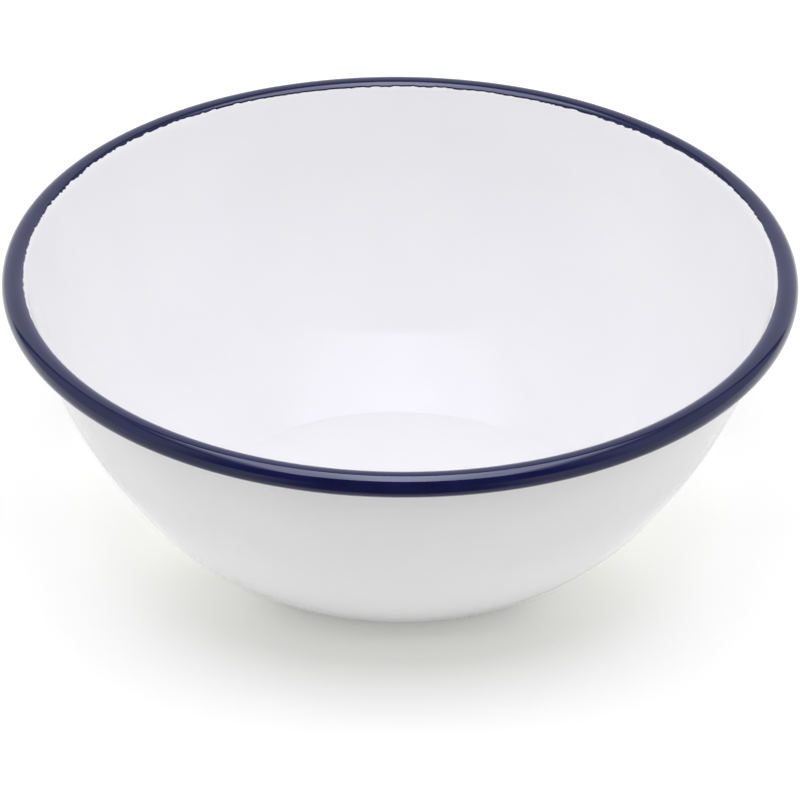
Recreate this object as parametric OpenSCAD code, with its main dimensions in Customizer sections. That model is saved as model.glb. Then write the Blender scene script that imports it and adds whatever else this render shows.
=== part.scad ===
// Enamelled steel bowl with a curled rim.
// A pressed steel shell carries a dark ground coat all over, a white coat on each side and a blue coat
// round the rim. Every piece is turned about Z, and z = 0 is the plane that the bowl stands on.

/* [Bowl] */
// Diameter over the finished rim
rim_d = 200; // [170:1:230]
// Height from the standing ring to the top of the finished rim
bowl_h = 73.3; // [62:0.1:90]
// Diameter of the floor, up to where the corner begins to turn into the wall
floor_d = 97; // [80:1:112]

/* [Wall] */
// Slope of the wall where it leaves the floor's corner, in degrees
foot_slope = 29.6; // [24:0.1:36]
// Slope of the wall where it runs into the rim, in degrees
rim_slope = 76.5; // [72:0.1:82]
// Where the belly, the wall's lower arc, runs into its upper arc, as a share of the slopes that allow it
join_share = 0.412; // [0.3:0.001:0.6]
// Radius of the corner between floor and wall, on the steel's inner face
corner_r = 2; // [1:0.1:6]

/* [Floor] */
// Width of the flat ring that the bowl stands on
stand_w = 8; // [4:0.5:15]
// Rise of the middle of the floor above that ring
floor_rise = 0.5; // [0.2:0.1:2]

/* [Rim] */
// Diameter of the finished bead
bead_d = 6.2; // [5:0.1:9]
// Gap between the curled edge and the wall, bridged by the ground coat
curl_gap = 0.15; // [0.05:0.05:0.4]
// How far the blue coat runs from the top of the bead towards the inside, in degrees
blue_turn = 48; // [30:1:65]

/* [Sheet and coats] */
// Thickness of the steel sheet
sheet_t = 0.5; // [0.4:0.05:0.8]
// Thickness of the ground coat
ground_t = 0.1; // [0.05:0.01:0.2]
// Thickness of the white coat on each side
white_t = 0.15; // [0.1:0.01:0.3]
// Thickness of the blue coat
blue_t = 0.2; // [0.1:0.01:0.3]

/* [Hidden] */
$fn = 144;

// Chords along each round stretch of the profile
floor_steps = 8;
corner_steps = 4;
wall_steps = 10;
rim_steps = 5;
bead_steps = 44;

// A direction at an angle, and the way into the bowl from a wall of a given slope
function along(angle) = [cos(angle), sin(angle)];
function inward(slope) = along(slope + 90);

// The points of an arc after its first one
function arc(centre, r, from, to, steps) =
    [for (i = [1:steps]) centre + r * along(from + (to - from) * i / steps)];

function reversed(points) = [for (i = [len(points) - 1:-1:0]) points[i]];
function but_last(points) = [for (i = [0:len(points) - 2]) points[i]];

// The coats' outer faces, as distances from the steel
white_face = ground_t + white_t;
blue_face = ground_t + blue_t;

// The steel's inner face: height of the floor, centre of the corner, foot of the wall
floor_z = white_face + sheet_t;
floor_r = floor_d / 2;
dome_r = floor_r - stand_w;
corner_c = [floor_r, floor_z + corner_r];
wall_foot = corner_c - corner_r * inward(foot_slope);

// The curl: its centre, and its outer radius on the steel
bead_c = [rim_d / 2, bowl_h] - bead_d / 2 * [1, 1];
curl_r = bead_d / 2 - blue_face;

// The wall is two arcs, the belly and the upper wall, from its foot to where it leaves the curl. They are
// tangent at tangent_slope, which lies between the slopes that make both of them bend inwards
wall_top = bead_c + curl_r * inward(rim_slope);
wall_span = wall_top - wall_foot;
chord_slope = atan2(wall_span.y, wall_span.x);
least_slope = max(foot_slope, 2 * chord_slope - rim_slope);
most_slope = min(rim_slope, 2 * chord_slope - foot_slope);
tangent_slope = least_slope + (most_slope - least_slope) * join_share;

// Their radii, from how far an arc of radius 1 goes over each turn, and their centres
function across(way) = [-way.y, way.x];
belly_way = inward(foot_slope) - inward(tangent_slope);
upper_way = inward(tangent_slope) - inward(rim_slope);
belly_r = wall_span * across(upper_way) / (belly_way * across(upper_way));
upper_r = wall_span * across(belly_way) / (upper_way * across(belly_way));
belly_c = wall_foot + belly_r * inward(foot_slope);
upper_c = wall_top + upper_r * inward(rim_slope);

// Angles round the bead, from outwards over the top: the wall's end, the blue coat's inner edge and the
// curled edge of the steel, which stops short of the wall by curl_gap
wall_end = rim_slope + 90;
blue_end = 90 + blue_turn;
edge_end = wall_end + acos((curl_r - sheet_t - curl_gap) / curl_r) - 360;

// Where a skin of radius r round the bead meets a wall face that lies `out` from the steel's inner face:
// the angle there round the bead, and the slope there on the wall
bead_reach = upper_r + curl_r;
function third_angle(near, other, far) =
    acos((pow(near, 2) + pow(other, 2) - pow(far, 2)) / (2 * near * other));
function crease_angle(r, out) = wall_end + third_angle(bead_reach, r, upper_r + out) - 360;
function crease_slope(r, out) = rim_slope - third_angle(bead_reach, upper_r + out, r);

// Floor and wall from the axis up to a slope, on the face that lies `out` from the steel's inner face
function floor_and_wall(out, last_slope) = concat(
    [for (i = [0:floor_steps])
        [dome_r * i / floor_steps, floor_z - out + floor_rise * (1 + cos(180 * i / floor_steps)) / 2]],
    [[floor_r, floor_z - out]],
    arc(corner_c, corner_r + out, -90, foot_slope - 90, corner_steps),
    arc(belly_c, belly_r + out, foot_slope - 90, tangent_slope - 90, wall_steps),
    arc(upper_c, upper_r + out, tangent_slope - 90, last_slope - 90, wall_steps));

// The inner face at a distance from the steel, up to where the bead begins
function inner_face(off) = floor_and_wall(-off, rim_slope);

// The outer face at a distance from the steel, up to the crease with a skin of radius r round the bead
function outer_face(off, r) = floor_and_wall(sheet_t + off, crease_slope(r, sheet_t + off));

// The bead's skin at a distance from the steel: from the wall's end to the blue coat's inner edge, and
// from there round to an angle under the bead
function bead_inside(off) = arc(bead_c, curl_r + off, wall_end, blue_end, rim_steps);
function bead_outside(off, last) = arc(bead_c, curl_r + off, blue_end, last, bead_steps);

// The outside of the bare steel and of the ground coat, from the axis inside to the axis outside
steel_skin = concat(
    inner_face(0),
    bead_inside(0),
    bead_outside(0, edge_end),
    reversed(outer_face(0, curl_r)));
ground_crease = crease_angle(curl_r + ground_t, sheet_t + ground_t);
ground_skin = concat(
    inner_face(ground_t),
    bead_inside(ground_t),
    bead_outside(ground_t, ground_crease),
    reversed(but_last(outer_face(ground_t, curl_r + ground_t))));

// Pressed sheet with its edge curled outwards into a hollow bead
module steel_bowl() {
    hollow_r = curl_r - sheet_t;
    last_slope = crease_slope(curl_r, sheet_t);
    color("silver")
        rotate_extrude()
            polygon(concat(
                inner_face(0),
                bead_inside(0),
                bead_outside(0, edge_end),
                [bead_c + hollow_r * along(edge_end)],
                but_last(arc(bead_c, hollow_r, edge_end, wall_end, bead_steps)),
                reversed(concat(
                    outer_face(0, curl_r),
                    arc(upper_c, upper_r + sheet_t, last_slope - 90, rim_slope - 90, rim_steps)))));
}

// Dark enamel fused to the steel on both sides, which also bridges the gap at the curled edge
module ground_coat() {
    color("dimgray")
        rotate_extrude()
            polygon(concat(ground_skin, reversed(steel_skin)));
}

// White enamel inside, up to the blue coat
module inner_coat() {
    color("whitesmoke")
        rotate_extrude()
            polygon(concat(
                inner_face(white_face),
                bead_inside(white_face),
                reversed(concat(inner_face(ground_t), bead_inside(ground_t)))));
}

// White enamel outside, up to the crease under the blue bead
module outer_coat() {
    color("white")
        rotate_extrude()
            polygon(concat(
                outer_face(ground_t, curl_r + ground_t),
                reversed(outer_face(white_face, curl_r + blue_face))));
}

// Blue enamel round the bead, a little thicker than the white that it meets
module rim_coat() {
    color("midnightblue")
        rotate_extrude()
            polygon(concat(
                [bead_c + (curl_r + blue_face) * along(blue_end)],
                bead_outside(blue_face, crease_angle(curl_r + blue_face, sheet_t + white_face)),
                reversed(bead_outside(ground_t, ground_crease)),
                [bead_c + (curl_r + ground_t) * along(blue_end)]));
}

steel_bowl();
ground_coat();
inner_coat();
outer_coat();
rim_coat();
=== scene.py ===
import math

import bpy
import numpy as np
from mathutils import Matrix


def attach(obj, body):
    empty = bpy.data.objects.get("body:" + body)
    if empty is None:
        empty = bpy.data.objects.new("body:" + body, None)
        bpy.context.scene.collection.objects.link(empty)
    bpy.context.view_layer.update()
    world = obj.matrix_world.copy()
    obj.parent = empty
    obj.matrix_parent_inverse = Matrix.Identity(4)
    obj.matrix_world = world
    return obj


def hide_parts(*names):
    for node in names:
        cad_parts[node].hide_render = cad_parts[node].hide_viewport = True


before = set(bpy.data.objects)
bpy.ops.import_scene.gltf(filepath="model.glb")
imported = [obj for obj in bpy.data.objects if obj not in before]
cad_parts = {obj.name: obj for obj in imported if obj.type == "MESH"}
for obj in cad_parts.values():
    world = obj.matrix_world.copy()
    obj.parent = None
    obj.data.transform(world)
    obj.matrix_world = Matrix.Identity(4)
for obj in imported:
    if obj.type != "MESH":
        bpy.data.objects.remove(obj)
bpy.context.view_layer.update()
print("frame loaded:", ", ".join(sorted(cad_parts)))

mm = 0.001
turn = 2 * math.pi


# shader maths as plain expressions: a wire is one output socket of one node tree
class Wire:
    def __init__(self, shop, socket):
        self.shop, self.socket = shop, socket

    def math(self, operation, *values):
        return self.shop.add("ShaderNodeMath", {"operation": operation}, *values)

    def __add__(self, other):
        return self.math("ADD", self, other)

    def __radd__(self, other):
        return self.math("ADD", other, self)

    def __sub__(self, other):
        return self.math("SUBTRACT", self, other)

    def __rsub__(self, other):
        return self.math("SUBTRACT", other, self)

    def __mul__(self, other):
        return self.math("MULTIPLY", self, other)

    def __rmul__(self, other):
        return self.math("MULTIPLY", other, self)

    def __truediv__(self, other):
        return self.math("DIVIDE", self, other)

    def __rtruediv__(self, other):
        return self.math("DIVIDE", other, self)

    def __pow__(self, other):
        return self.math("POWER", self, other)

    def out(self, name):  # another output of the same node
        return Wire(self.shop, self.socket.node.outputs[name])

    def smooth(self, low, high):  # 0 below low, 1 above high, an S curve between
        return self.shop.add("ShaderNodeMapRange", {"interpolation_type": "SMOOTHSTEP"}, self, low, high)

    def fade(self, low, high):  # 1 below low, 0 above high
        return 1 - self.smooth(low, high)

    def between(self, first, second):  # first where the wire is 0, second where it is 1
        return first + (second - first) * self


# one node tree; add() makes any node: its type, then its settings, then its sockets by place or by name
class Shop:
    def __init__(self, tree):
        self.tree = tree
        tree.nodes.clear()

    def add(self, kind, settings, *values, out=0, **named):
        node = self.tree.nodes.new(kind)
        for key, value in settings.items():
            setattr(node, key, value)
        sockets = list(zip(node.inputs, values))
        sockets += [(node.inputs[key.replace("_", " ")], value) for key, value in named.items()]
        for socket, value in sockets:
            if isinstance(value, Wire):
                self.tree.links.new(value.socket, socket)
            elif value is not None:
                socket.default_value = value
        return Wire(self, node.outputs[out]) if node.outputs else node

    def tint(self, factor, first, second):  # colour mix; the node's other five sockets stay unused
        colours = [value if isinstance(value, Wire) else (*value, 1) for value in (first, second)]
        return self.add("ShaderNodeMix", {"data_type": "RGBA"}, factor, *[None] * 5, *colours, out=2)

    def close(self, surface):
        isWorld = isinstance(self.tree.id_data, bpy.types.World)
        self.add("ShaderNodeOutputWorld" if isWorld else "ShaderNodeOutputMaterial", {}, surface)


def newFinish(name):
    material = bpy.data.materials.new(name)
    material.use_nodes = True
    return material, Shop(material.node_tree)


# the pressed form that all coats follow, lengths in mm and slopes in degrees
form = dict(
    rimRadius=100, height=73.3, floorRadius=48.5, standWidth=8, floorRise=0.5,
    footSlope=29.6, rimSlope=76.5, joinShare=0.412, cornerRadius=2,
    beadRadius=3.1, sheet=0.5, groundFace=0.1, whiteFace=0.25, blueFace=0.3, blueTurn=48,
)


def along(degrees):  # unit vector at an angle in the r, z half plane
    return np.array([math.cos(math.radians(degrees)), math.sin(math.radians(degrees))])


def around(steps):  # even angles about the axis
    return np.arange(steps) * turn / steps


floorZ = form["whiteFace"] + form["sheet"]
domeRadius = form["floorRadius"] - form["standWidth"]
cornerAt = np.array([form["floorRadius"], floorZ + form["cornerRadius"]])
beadAt = np.array([form["rimRadius"], form["height"]]) - form["beadRadius"]
curlRadius = form["beadRadius"] - form["blueFace"]
footIn, rimIn = along(form["footSlope"] + 90), along(form["rimSlope"] + 90)

# the wall's two arcs, belly and upper wall, are tangent where their slopes meet; their radii come from how
# far an arc of radius 1 goes over each turn
wallFoot = cornerAt - form["cornerRadius"] * footIn
wallTop = beadAt + curlRadius * rimIn
wallSpan = wallTop - wallFoot
chordSlope = math.degrees(math.atan2(wallSpan[1], wallSpan[0]))
leastSlope = max(form["footSlope"], 2 * chordSlope - form["rimSlope"])
mostSlope = min(form["rimSlope"], 2 * chordSlope - form["footSlope"])
tangentSlope = leastSlope + (mostSlope - leastSlope) * form["joinShare"]
tangentIn = along(tangentSlope + 90)
bellyRadius, upperRadius = np.linalg.solve(np.stack([footIn - tangentIn, tangentIn - rimIn], 1), wallSpan)
bellyAt = wallFoot + bellyRadius * footIn
upperAt = wallTop + upperRadius * rimIn
wallEnd = form["rimSlope"] + 90
blueEnd = 90 + form["blueTurn"]


# angle of a triangle between two sides that faces the third
def facing(near, other, far):
    return math.degrees(math.acos((near ** 2 + other ** 2 - far ** 2) / (2 * near * other)))


def creaseAngle(centre, radius, out):  # round the bead, where its skin meets the outer wall face
    way = upperAt - centre
    toWall = math.degrees(math.atan2(way[1], way[0]))
    return toWall + facing(np.linalg.norm(way), radius, upperRadius + out) - 360


def creaseSlope(radius, out):  # of the outer wall face, where it meets the bead's skin
    return form["rimSlope"] - facing(upperRadius + curlRadius, upperRadius + out, radius)


# points of an arc after its first: centre plus radius times the direction, the angle going evenly to last
def arc(centre, radius, first, last, steps):
    angle = np.radians(first + (last - first) * np.arange(1, steps + 1) / steps)
    return np.stack([centre[0] + radius * np.cos(angle), centre[1] + radius * np.sin(angle)], 1)


# floor and wall from the axis up to a slope: half a cosine wave for the floor's rise, a flat ring, then
# three arcs that run into each other, all at a distance out from the steel's inner face; the last four
# arguments are rows
def floorAndWall(out, lastSlope, dome, corner, belly, upper):
    ringRows = 3
    r = domeRadius * np.linspace(0, 1, dome + 1)
    z = floorZ - out + form["floorRise"] * (1 + np.cos(np.pi * r / domeRadius)) / 2
    ringR = np.linspace(domeRadius, form["floorRadius"], ringRows + 1)[1:]
    return np.concatenate([
        np.stack([r, z], 1),
        np.stack([ringR, np.full(ringRows, floorZ - out)], 1),
        arc(cornerAt, form["cornerRadius"] + out, -90, form["footSlope"] - 90, corner),
        arc(bellyAt, bellyRadius + out, form["footSlope"] - 90, tangentSlope - 90, belly),
        arc(upperAt, upperRadius + out, tangentSlope - 90, lastSlope - 90, upper)])


# a turned skin: row i and step j of the r and z grids stand at angle theta j about the axis; a row of
# zero radius at each end closes the skin with a fan, and without them the last row joins the first
def turnedSkin(name, r, z, theta, finish, sharp):
    rows, steps = r.shape
    poles = r[0].max() == 0
    x, y = r * np.cos(theta), r * np.sin(theta)
    points = np.stack([x, y, z], 2) * mm
    row, step = np.meshgrid(np.arange(rows), np.arange(steps), indexing="ij")
    index = row * steps + step
    if poles:
        index = index - (steps - 1)
        index[0], index[-1] = 0, (rows - 2) * steps + 1
        points = np.concatenate([points[:1, 0], points[1:-1].reshape(-1, 3), points[-1:, 0]])
    else:
        index = np.concatenate([index, index[:1]])
        points = points.reshape(-1, 3)
    right = np.roll(index, -1, 1)
    quads = np.stack([index[:-1], right[:-1], right[1:], index[1:]], 2)
    if poles:
        corners = [quads[0][:, [0, 2, 3]].ravel(), quads[1:-1].ravel(), quads[-1][:, [0, 1, 2]].ravel()]
        counts = np.concatenate([np.full(steps, 3), np.full((len(quads) - 2) * steps, 4), np.full(steps, 3)])
    else:
        corners = [quads.ravel()]
        counts = np.full(len(quads) * steps, 4)
    corners = np.concatenate(corners)
    starts = np.concatenate([[0], np.cumsum(counts)[:-1]])
    mesh = bpy.data.meshes.new(name)
    mesh.vertices.add(len(points))
    mesh.vertices.foreach_set("co", points.astype(np.float32).ravel())
    mesh.loops.add(len(corners))
    mesh.loops.foreach_set("vertex_index", corners.astype(np.int32))
    mesh.polygons.add(len(counts))
    mesh.polygons.foreach_set("loop_start", starts.astype(np.int32))
    mesh.polygons.foreach_set("use_smooth", np.ones(len(counts), bool))
    mesh.update(calc_edges=True)
    # area inside the loops, positive if they run clockwise with z up
    area = 0.5 * np.sum((np.roll(z, -1, 0) + z) * (np.roll(r, -1, 0) - r))
    if area > 0:
        mesh.flip_normals()
    mesh.set_sharp_from_angle(angle=math.radians(sharp))
    mesh.validate()
    mesh.materials.append(finish)
    piece = bpy.data.objects.new(name, mesh)
    bpy.context.scene.collection.objects.link(piece)
    print(name, "points", len(points), "triangles", int((counts - 2).sum()))
    return piece


# slow ripple of a fired coat: a few waves about the axis and along the profile, each with its own phase
waves = dict(count=9, about=(3, 26), up=(0.5, 7))


def ripple(theta, rows, seed):
    rng = np.random.default_rng(seed)
    total = np.zeros((rows, len(theta)))
    share = np.linspace(0, 1, rows)[:, None]
    for wave in range(waves["count"]):
        about, up = rng.integers(*waves["about"]), rng.uniform(*waves["up"])
        phase = rng.uniform(0, turn, 2)
        total += np.cos(about * theta + phase[0]) * np.cos(up * np.pi * share + phase[1]) / about ** 0.5
    return total / math.sqrt(waves["count"])


# share of the ripple on each row of a face: none on the first rows, then a rise, and down to none at the end
def rippleShare(piece, rows):
    share = np.clip((np.arange(rows) - piece["stillRows"]) / piece["riseRows"], 0, 1)
    share[-piece["endRows"]:] = np.linspace(1, 0, piece["endRows"])
    return share[:, None]


# outward normals of a profile, from its neighbours
def profileNormals(path):
    way = np.gradient(path, axis=0)
    way /= np.linalg.norm(way, axis=1)[:, None]
    return np.stack([way[:, 1], -way[:, 0]], 1)


# both faces of a white coat as r and z grids: the finished face, moved along its normals by lift, then the
# hidden face back to the axis
def twoFaces(face, back, lift):
    moved = face.T[:, :, None] + profileNormals(face).T[:, :, None] * lift
    hidden = np.repeat(back[::-1].T[:, :, None], lift.shape[1], 2)
    r, z = np.concatenate([moved, hidden], 1)
    r[[0, -1]] = 0
    return r, z


# vitreous enamel, white and navy: the coat pools thicker and thinner, has a fine orange peel and a few specks
white = dict(
    speck=(0.42, 0.42, 0.43), gloss=0.05, glossChange=0.03, specular=0.19, coat=0.0, coatGloss=0.04,
    poolScale=34.0, poolEdge=(0.25, 0.75), peelScale=420.0, peelShare=0.25, bump=0.05, bumpDepth=0.0004,
    cellScale=190.0, speckEdge=(0.025, 0.05), speckRare=(0.993, 0.994), speckShow=0.5,
)
blue = dict(
    colour=(0.0102, 0.0116, 0.063), deep=(0.0078, 0.0090, 0.049),
    speck=(0.30, 0.31, 0.38), gloss=0.07, glossChange=0.05, specular=0.5, coat=0.6, coatGloss=0.04,
    poolScale=130.0, poolEdge=(0.3, 0.7), peelScale=700.0, peelShare=0.3, bump=0.04, bumpDepth=0.0003,
    cellScale=420.0, speckEdge=(0.04, 0.1), speckRare=(0.988, 0.989), speckShow=0.6,
)


def enamelFinish(name, look, colour, other):
    material, shop = newFinish(name)
    at = shop.add("ShaderNodeTexCoord", {}, out="Object")
    pool = shop.add("ShaderNodeTexNoise", {}, Vector=at, Scale=look["poolScale"], Detail=3.0)
    peel = shop.add("ShaderNodeTexNoise", {}, Vector=at, Scale=look["peelScale"], Detail=2.0)
    cells = shop.add("ShaderNodeTexVoronoi", {}, Vector=at, Scale=look["cellScale"])
    chance = shop.add("ShaderNodeTexWhiteNoise", {}, cells.out("Position"))
    speck = cells.fade(*look["speckEdge"]) * chance.smooth(*look["speckRare"])
    colour = shop.tint(pool.smooth(*look["poolEdge"]), other, colour)
    colour = shop.tint(speck * look["speckShow"], colour, look["speck"])
    height = peel * look["peelShare"] + pool
    bump = shop.add("ShaderNodeBump", {}, Strength=look["bump"], Distance=look["bumpDepth"], Height=height)
    shop.close(shop.add(
        "ShaderNodeBsdfPrincipled", {}, Base_Color=colour, Normal=bump,
        Roughness=look["gloss"] + pool * look["glossChange"], Specular_IOR_Level=look["specular"],
        Coat_Weight=look["coat"], Coat_Roughness=look["coatGloss"]))
    return material


# white coat inside: the finished face from the axis up onto the bead, tucked a little under the blue,
# then back down along the ground coat
inside = dict(
    steps=720, tuck=9, wave=0.012, seed=4, stillRows=1, riseRows=1, endRows=9, sharp=40,
    faceRows=(12, 8, 18, 16), faceTop=10, backRows=(4, 4, 8, 5), backTop=5,
    # colour and thin are set lighter than the outside coat's, though both are one white enamel: painted light
    # inside the bowl
    colour=(0.910, 0.906, 0.922), thin=(0.890, 0.887, 0.906),
)


def insideCoat():
    theta = around(inside["steps"])
    last = blueEnd - inside["tuck"]
    face = np.concatenate([
        floorAndWall(-form["whiteFace"], form["rimSlope"], *inside["faceRows"]),
        arc(beadAt, curlRadius + form["whiteFace"], wallEnd, last, inside["faceTop"])])
    back = np.concatenate([
        floorAndWall(-form["groundFace"], form["rimSlope"], *inside["backRows"]),
        arc(beadAt, curlRadius + form["groundFace"], wallEnd, last, inside["backTop"])])
    lift = inside["wave"] * rippleShare(inside, len(face)) * ripple(theta, len(face), inside["seed"])
    r, z = twoFaces(face, back, -lift)
    finish = enamelFinish("whiteInsidePaintedLight", white, inside["colour"], inside["thin"])
    return turnedSkin("insideEnamel", r, z, theta, finish, inside["sharp"])


# white coat outside: from the axis under the floor, out over the standing ring and up to the crease; the
# floor and the ring stay flat
outside = dict(
    steps=720, wave=0.014, highest=1, seed=11, stillRows=20, riseRows=6, endRows=6, sharp=40,
    faceRows=(12, 8, 18, 16), backRows=(4, 4, 8, 5),
    # colour and thin are set darker than the inside coat's, though both are one white enamel: painted shade on the
    # outer wall
    colour=(0.805, 0.805, 0.811), thin=(0.787, 0.787, 0.795),
)


def outsideCoat():
    theta = around(outside["steps"])
    faceOut, backOut = form["sheet"] + form["whiteFace"], form["sheet"] + form["groundFace"]
    face = floorAndWall(faceOut, creaseSlope(form["beadRadius"], faceOut), *outside["faceRows"])
    back = floorAndWall(
        backOut, creaseSlope(curlRadius + form["groundFace"], backOut), *outside["backRows"])
    swell = np.minimum(ripple(theta, len(face), outside["seed"]), outside["highest"])
    r, z = twoFaces(face, back, outside["wave"] * rippleShare(outside, len(face)) * swell)
    finish = enamelFinish("whiteOutsidePaintedShade", white, outside["colour"], outside["thin"])
    return turnedSkin("outsideEnamel", r, z, theta, finish, outside["sharp"])


# blue coat on the bead: its inner edge is brushed by hand, so it wanders and has small teeth; each stroke
# says where the brush ran further in or stayed back, how far, and over what width, all in degrees; rough is
# where the teeth are longest
rim = dict(
    steps=3200, sharp=50, roundRows=20, backRows=4, swell=0.1, inset=0.02, overlap=0.004, tuckGap=0.4,
    toe=12.0, toeShares=(0, 0.12, 0.35, 0.65, 1),
    strokes=(
        (60, 8.0, 18), (99, 5.4, 16), (137, -5.0, 15), (22, -2.0, 18),
        (178, 4.5, 14), (262, -2.0, 22), (318, 3.0, 24)),
    rough=(146, 0.9, 22), edgeIn=2.2, seed=23,
    slow=0.5, slowSpread=1.5, slowWaves=(3, 5, 8, 13, 21, 34),
    teeth=2.7, toothShort=0.3, toothLong=1.3, toothDraws=2500, toothLimit=1.6,
    patchMean=0.65, patchChange=0.35, patchWaves=(7, 4),
)


# tube angle of the brushed edge at each theta: a bell curve for each stroke, a few slow waves, and straight
# lines between random corners, longer in some patches than in others
def brushedEdge(theta):
    rng = np.random.default_rng(rim["seed"])
    length = turn * (beadAt[0] - rim["edgeIn"])
    gaps = rng.uniform(rim["toothShort"], rim["toothLong"], rim["toothDraws"])
    place = np.cumsum(gaps)
    place = place[place < length - rim["toothLong"]]
    height = np.clip(rng.normal(0, 1, len(place)), -rim["toothLimit"], rim["toothLimit"])
    teeth = np.interp(theta / turn * length, place, height, period=length)
    slow = sum(math.sqrt(1 / k) * np.cos(k * theta + rng.uniform(0, turn)) for k in rim["slowWaves"])
    first, second = [np.cos(theta * k + rng.uniform(0, turn)) for k in rim["patchWaves"]]
    strength = rim["patchMean"] + rim["patchChange"] * first * second

    def bell(at, high, wide):
        return high * np.exp(-(((np.degrees(theta) - at + 180) % 360 - 180) / wide) ** 2)

    edge = blueEnd + sum(bell(*stroke) for stroke in rim["strokes"]) + rim["slow"] * slow / rim["slowSpread"]
    return edge + rim["teeth"] * (strength + bell(*rim["rough"])) * teeth


# each cross section is a closed loop: a rounded toe on the white, round the bead to the crease under it,
# and back along the ground coat and over the end of the white; the fired coat swells a little inwards and
# below, so its circle is wider than the bead and sits lower and further in, and the inset keeps it clear of
# the bead's own outline
def rimCoat():
    theta = around(rim["steps"])
    edge = brushedEdge(theta)[None]
    outer, inner = form["beadRadius"] + rim["swell"], curlRadius + form["groundFace"]
    under = curlRadius + form["whiteFace"] + rim["overlap"]
    centre = beadAt - rim["swell"] - rim["inset"]
    crease = creaseAngle(centre, outer, form["sheet"] + form["whiteFace"])
    innerCrease = creaseAngle(beadAt, inner, form["sheet"] + form["groundFace"])

    def spot(middle, radius, degrees):
        angle = np.radians(degrees)
        return np.stack([middle[0] + radius * np.cos(angle), middle[1] + radius * np.sin(angle)])

    toe = np.array(rim["toeShares"])[:, None]
    toeAngle = edge - rim["toe"] * toe
    low, high = spot(beadAt, under, toeAngle), spot(centre, outer, toeAngle)
    toeSpot = low + (high - low) * np.sin(toe * np.pi / 2)
    share = np.linspace(0, 1, rim["roundRows"] + 1)[1:, None]
    roundSpot = spot(centre, outer, toeAngle[-1:] + (crease - toeAngle[-1:]) * share)
    tuckEnd = blueEnd - inside["tuck"] - rim["tuckGap"]
    backShare = np.linspace(0, 1, rim["backRows"])[:, None]
    backSpot = spot(beadAt, inner, innerCrease + (tuckEnd - innerCrease) * backShare + 0 * edge)
    overSpot = spot(beadAt, under, np.concatenate([tuckEnd + 0 * edge, (tuckEnd + edge) / 2]))
    r, z = np.concatenate([toeSpot, roundSpot, backSpot, overSpot], 1)
    finish = enamelFinish("blueEnamel", blue, blue["colour"], blue["deep"])
    return turnedSkin("rimEnamel", r, z, theta, finish, rim["sharp"])


pieces = [
    (insideCoat(), "inner_coat", "white_enamel"),
    (outsideCoat(), "outer_coat", "white_enamel"),
    (rimCoat(), "rim_coat", "blue_enamel"),
]
for piece, node, slot in pieces:
    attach(piece, "root")
    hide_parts(node)
print("coats made")

# what lies under the coats keeps the CAD shape and gets a finish of its own
steel = dict(
    colour=(0.50, 0.51, 0.53), worn=(0.36, 0.36, 0.38), gloss=0.32, glossChange=0.15,
    grainScale=900.0, stainScale=40.0, stainEdge=(0.4, 0.7),
)
ground = dict(
    colour=(0.030, 0.030, 0.035), speck=(0.075, 0.078, 0.09), gloss=0.25, glossChange=0.2,
    grainScale=1500.0, speckEdge=(0.5, 0.7),
)


def steelFinish():
    material, shop = newFinish("pressedSteel")
    at = shop.add("ShaderNodeTexCoord", {}, out="Object")
    grain = shop.add("ShaderNodeTexNoise", {}, Vector=at, Scale=steel["grainScale"], Detail=4.0, Roughness=0.6)
    stain = shop.add("ShaderNodeTexNoise", {}, Vector=at, Scale=steel["stainScale"], Detail=3.0)
    shop.close(shop.add(
        "ShaderNodeBsdfPrincipled", {}, Metallic=1.0,
        Base_Color=shop.tint(stain.smooth(*steel["stainEdge"]), steel["colour"], steel["worn"]),
        Roughness=steel["gloss"] + grain * steel["glossChange"]))
    return material


def groundFinish():
    material, shop = newFinish("groundEnamel")
    at = shop.add("ShaderNodeTexCoord", {}, out="Object")
    grain = shop.add("ShaderNodeTexNoise", {}, Vector=at, Scale=ground["grainScale"], Detail=3.0, Roughness=0.6)
    shop.close(shop.add(
        "ShaderNodeBsdfPrincipled", {},
        Base_Color=shop.tint(grain.smooth(*ground["speckEdge"]), ground["colour"], ground["speck"]),
        Roughness=ground["gloss"] + grain * ground["glossChange"]))
    return material


for node, finish in (("steel_bowl", steelFinish()), ("ground_coat", groundFinish())):
    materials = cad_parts[node].data.materials
    materials.clear()
    materials.append(finish)
print("hidden nodes finished")

# the studio is a pale lit table, one large softbox overhead, pale walls at the sides and behind, and a dark
# side in front; every pair called an edge is where a change begins and ends
mirrorColour = (0.97, 0.97, 1.24)
tiny = 1e-6


def stageSheet(name, width, depth, at, finish):
    x, y = np.array([-1, 1, 1, -1]) * width / 2 + at[0], np.array([-1, -1, 1, 1]) * depth / 2 + at[1]
    mesh = bpy.data.meshes.new(name)
    mesh.from_pydata(np.stack([x, y, np.full(4, at[2])], 1).tolist(), [], [(0, 1, 2, 3)])
    mesh.materials.append(finish)
    sheet = bpy.data.objects.new(name, mesh)
    bpy.context.scene.collection.objects.link(sheet)
    return sheet
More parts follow.
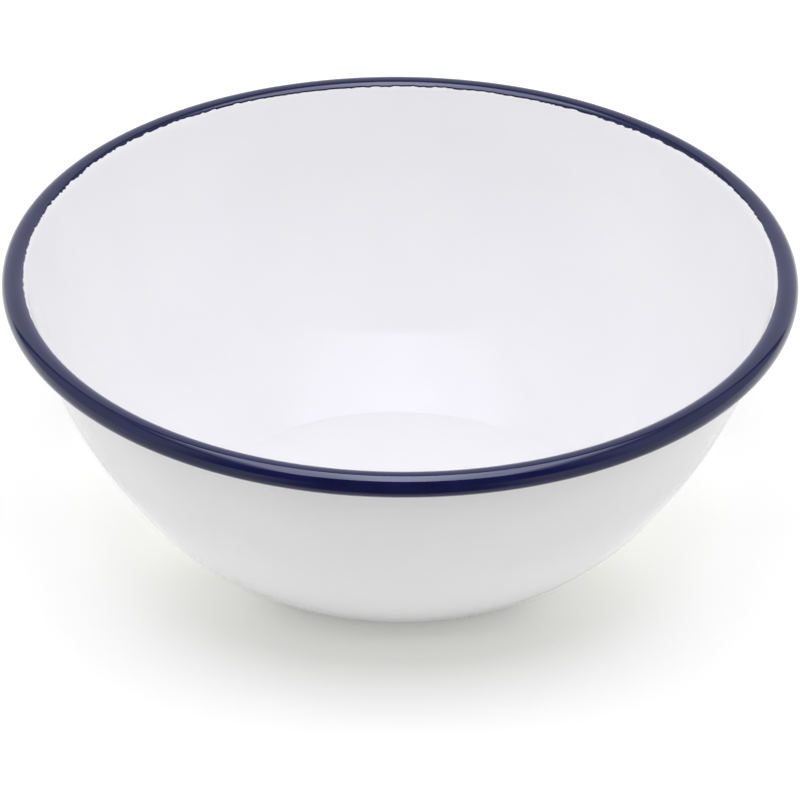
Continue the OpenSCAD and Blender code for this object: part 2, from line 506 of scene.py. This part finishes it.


# the table has three looks: paper lights the bowl, and glows at the sides, behind and in a ring in front;
# glossy is for reflections, dimmer and dark in front, with a glow round the foot; seen is for the camera, with
# the shadow on it, painted shade in a darker, yellower colour close round the foot, and painted light that
# lightens the shadow at the sides, behind and at the foot in front
paper = dict(
    half=6.0, colour=(0.86, 0.86, 0.84), sideGlow=0.55, backGlow=0.25, ringGlow=0.31,
    frontEdge=(-0.9, -0.4), backEdge=(-0.1, 0.35), ringEdge=(0.056, 0.082), outerEdge=(0.11, 0.17),
)
glossy = dict(
    side=(0.72, 0.72, 0.74), back=(0.96, 0.96, 0.98), front=(0.34, 0.34, 0.35), dark=(0.02, 0.02, 0.022),
    glow=0.12, frontDim=0.6, footGlow=0.40, frontEdge=(-0.7, 0.2), backEdge=(-0.1, 0.4),
    darkSides=(-0.97, -0.80), darkEdge=(-0.158, -0.118), footEdge=(0.066, 0.090),
)
seen = dict(
    # the foot colour is painted shade close round the bowl's foot; the side, back and foot lifts are painted light
    # that lightens its shadow
    open=(1.0, 1.0, 0.99), foot=(0.95, 0.95, 0.90), paintedSideLight=0.21, paintedBackLight=0.13, paintedFootLight=0.27, farDim=0.3,
    sideEdge=(-1.0, 0.1), backEdge=(-0.1, 0.4), openEdge=(0.055, 0.085), farEdge=(0.075, 0.105),
    footEdge=(0.049, 0.070), frontEdge=(-0.8, -0.45),
)


# apart is the distance from the bowl's axis, depth goes from -1 in front to 1 behind
def makeFloor():
    material, shop = newFinish("floorPaper")
    toCamera = shop.add("ShaderNodeLightPath", {}, out="Is Camera Ray")
    x = shop.add("ShaderNodeSeparateXYZ", {}, shop.add("ShaderNodeTexCoord", {}, out="Object"))
    y = x.out("Y")
    apart = (x * x + y * y + tiny) ** 0.5
    depth = y / apart

    def sheet(colour, glow):
        diffuse = shop.add("ShaderNodeBsdfDiffuse", {}, colour)
        return shop.add("ShaderNodeAddShader", {}, diffuse, shop.add("ShaderNodeEmission", {}, (1, 1, 1, 1), glow))

    ahead = depth.fade(*paper["frontEdge"])
    ring = apart.smooth(*paper["ringEdge"]) * apart.fade(*paper["outerEdge"])
    sides = depth.smooth(*paper["backEdge"]).between(paper["sideGlow"], paper["backGlow"])
    lighting = sheet((*paper["colour"], 1), paper["ringGlow"] * ahead * ring + (1 - ahead) * sides)

    dark = depth.fade(*glossy["darkSides"]) * y.fade(*glossy["darkEdge"])
    front = depth.fade(*glossy["frontEdge"])
    pale = shop.tint(depth.smooth(*glossy["backEdge"]), glossy["side"], glossy["back"])
    mirrored = sheet(
        shop.tint(dark, shop.tint(front, pale, glossy["front"]), glossy["dark"]),
        glossy["glow"] * (1 - dark) * (1 - front * glossy["frontDim"])
        + glossy["footGlow"] * apart.fade(*glossy["footEdge"]))

    # painted light: a glow for the camera that lightens the bowl's shadow at the sides and behind, less away from
    # the bowl, and at the foot in front; the foot colour is painted shade
    lift = seen["paintedSideLight"] * depth.smooth(*seen["sideEdge"]) + seen["paintedBackLight"] * depth.smooth(*seen["backEdge"])
    shown = sheet(
        shop.tint(apart.smooth(*seen["openEdge"]), seen["foot"], seen["open"]),
        lift * (1 - seen["farDim"] * apart.smooth(*seen["farEdge"]))
        + seen["paintedFootLight"] * apart.fade(*seen["footEdge"]) * depth.fade(*seen["frontEdge"]))

    unseen = shop.add("ShaderNodeMixShader", {}, toCamera.out("Is Glossy Ray"), lighting, mirrored)
    shop.close(shop.add("ShaderNodeMixShader", {}, toCamera, unseen, shown))
    stageSheet("floor", 2 * paper["half"], 2 * paper["half"], (0, 0, 0), material)


# the softbox: a lamp for the light, and its pale face for reflections alone, brightest along the middle
softbox = dict(
    size=(0.92, 0.90), at=(0.0, -0.48, 1.07), power=8.25, colour=(1.0, 0.995, 1.02),
    faceSize=(1.7, 0.99), faceAt=(0.0, -0.235, 1.07), face=1.45, hot=1.3, fringe=1.15,
    faceEdge=(0.48, 0.53), hotEdge=(0.03, 0.27), fringeEdge=(0.52, 0.85),
)


def makeSoftbox():
    lamp = bpy.data.lights.new("softbox", "AREA")
    lamp.shape = "RECTANGLE"
    lamp.size, lamp.size_y = softbox["size"]
    lamp.energy, lamp.color = softbox["power"], softbox["colour"]
    box = bpy.data.objects.new("softbox", lamp)
    box.location = softbox["at"]
    box.visible_camera = box.visible_glossy = False
    bpy.context.scene.collection.objects.link(box)
    material, shop = newFinish("softboxFace")
    x = shop.add("ShaderNodeSeparateXYZ", {}, shop.add("ShaderNodeTexCoord", {}, out="Object"))
    across = x.math("ABSOLUTE", x)
    bright = softbox["face"] + softbox["hot"] * across.fade(*softbox["hotEdge"])
    bright = bright * across.fade(*softbox["faceEdge"])
    fringe = softbox["fringe"] * across.fade(*softbox["fringeEdge"])
    shop.close(shop.add("ShaderNodeEmission", {}, (*mirrorColour, 1), bright + fringe))
    face = stageSheet("softboxFace", *softbox["faceSize"], softbox["faceAt"], material)
    face.visible_camera = face.visible_diffuse = face.visible_shadow = face.visible_transmission = False


# the room by direction: fill is for diffuse rays and mirror for reflections, and the camera sees white
room = dict(
    fillLow=0.36, fillFront=0.37, fillSide=1.06, fillBack=0.90, fillTop=0.11,
    lowEdge=(0.40, 0.60), frontEdge=(-0.6, -0.1), backEdge=(0.1, 0.5), topEdge=(0.75, 0.92),
    mirrorSide=0.45, mirrorBack=0.68, mirrorGap=0.12, mirrorTop=0.30, backTilt=12,
    sideEdge=(-0.75, -0.3), upEdge=(0.6, 0.85), overEdge=(0.78, 0.90), gapEdge=(0.54, 0.60), wallEdge=(0.63, 0.68),
)


# depth goes from -1 in front to 1 behind, toBack is 1 at the middle of the back wall
def makeRoom():
    world = bpy.data.worlds.new("room")
    bpy.context.scene.world = world
    world.use_nodes = True
    shop = Shop(world.node_tree)
    toCamera = shop.add("ShaderNodeLightPath", {}, out="Is Camera Ray")
    toMirror, through = toCamera.out("Is Glossy Ray"), toCamera.out("Is Transmission Ray")
    x = shop.add("ShaderNodeSeparateXYZ", {}, shop.add("ShaderNodeTexCoord", {}, out="Generated"))
    y, z = x.out("Y"), x.out("Z")
    depth = y / (x * x + y * y + tiny) ** 0.5

    before = z.smooth(*room["lowEdge"]).between(room["fillLow"], room["fillFront"])
    beside = depth.smooth(*room["backEdge"]).between(room["fillSide"], room["fillBack"])
    walls = depth.smooth(*room["frontEdge"]).between(before, beside)
    fill = z.smooth(*room["topEdge"]).between(walls, room["fillTop"])

    tilt = math.radians(room["backTilt"])
    toBack = y * math.cos(tilt) + z * math.sin(tilt)
    back, away = toBack.smooth(*room["wallEdge"]), toBack.smooth(*room["gapEdge"])
    upward = z.smooth(*room["upEdge"])
    side = depth.smooth(*room["sideEdge"]) * upward.between(room["mirrorSide"], room["mirrorTop"])
    over = room["mirrorTop"] * z.smooth(*room["overEdge"])
    side = side.math("MAXIMUM", side, over)
    mirror = side * (1 - away) + room["mirrorGap"] * ((1 - back) * away) + room["mirrorBack"] * back

    light = toMirror.between(fill, mirror)
    colour = shop.tint(toMirror, (1, 1, 1), mirrorColour)
    straight = toCamera.math("MAXIMUM", toCamera, through)
    shop.close(shop.add("ShaderNodeBackground", {}, colour, straight.between(light, 1)))


# the photograph's view: a long lens from far off, turned and tipped a little
view = dict(
    lens=450.0, sensor=36.0, clip=(0.1, 100.0), distance=2.51, height=70.2,
    elevation=30.83, pitch=31.518, roll=0.457, swing=-0.0052,
)


def makeCamera():
    data = bpy.data.cameras.new("camera")
    data.lens, data.sensor_width = view["lens"], view["sensor"]
    data.clip_start, data.clip_end = view["clip"]
    camera = bpy.data.objects.new("camera", data)
    up = math.radians(view["elevation"])
    camera.location = (0, -view["distance"] * math.cos(up), view["height"] * mm + view["distance"] * math.sin(up))
    swing = Matrix.Rotation(math.radians(view["swing"]), 3, "Z")
    pitch = Matrix.Rotation(math.radians(90 - view["pitch"]), 3, "X")
    roll = Matrix.Rotation(math.radians(view["roll"]), 3, "Z")
    camera.rotation_euler = (swing @ pitch @ roll).to_euler()
    bpy.context.scene.collection.objects.link(camera)
    bpy.context.scene.camera = camera


makeFloor()
makeSoftbox()
makeRoom()
makeCamera()
bpy.context.scene.view_settings.view_transform = "Standard"
print("studio made")
